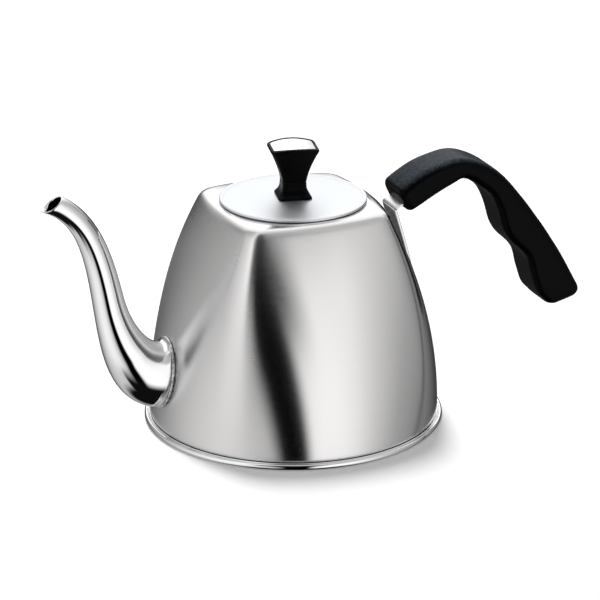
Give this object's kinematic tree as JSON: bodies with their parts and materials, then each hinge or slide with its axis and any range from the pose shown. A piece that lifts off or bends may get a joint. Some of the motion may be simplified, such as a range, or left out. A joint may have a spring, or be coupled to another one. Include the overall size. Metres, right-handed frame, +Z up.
{
  "type": "gooseneck kettle",
  "caption": "Steel kettle, round at the foot and square at the shoulder, with a gooseneck spout, a loose knobbed lid and a black side grip on a bent strap.",
  "frame": {"origin": "centre of the base plate's underside, on the floor", "axes": "+Z up, +X towards the grip, -X towards the spout, +Y completing a right-handed frame"},
  "size_m": [0.2959, 0.156, 0.1484],
  "materials": {
    "body_steel": "satin, finely brushed round the body",
    "polished_steel": "polished",
    "black_plastic": "matte with a soft sheen",
    "insert_brass": "plain"
  },
  "bodies": {
    "kettle": {"body_shell": "body_steel", "base_plate": "body_steel", "base_seam": "polished_steel", "spout_tube": "polished_steel", "spout_weld": "polished_steel", "handle_strap": "polished_steel", "strap_welds": "polished_steel", "grip": "black_plastic", "grip_screw": "polished_steel", "grip_washer": "polished_steel", "grip_insert": "insert_brass"},
    "lid": {"lid_disc": "polished_steel", "lid_skirt": "body_steel", "knob_foot": "black_plastic", "knob_upper": "black_plastic", "knob_cap": "polished_steel", "knob_screw": "polished_steel", "knob_washer": "polished_steel", "knob_insert": "insert_brass"}
  },
  "joints": [
    {"name": "lid_lift", "type": "slide", "parent": "kettle", "child": "lid", "axis": [0, 0, 1], "range_m": [0, 0.04]}
  ]
}
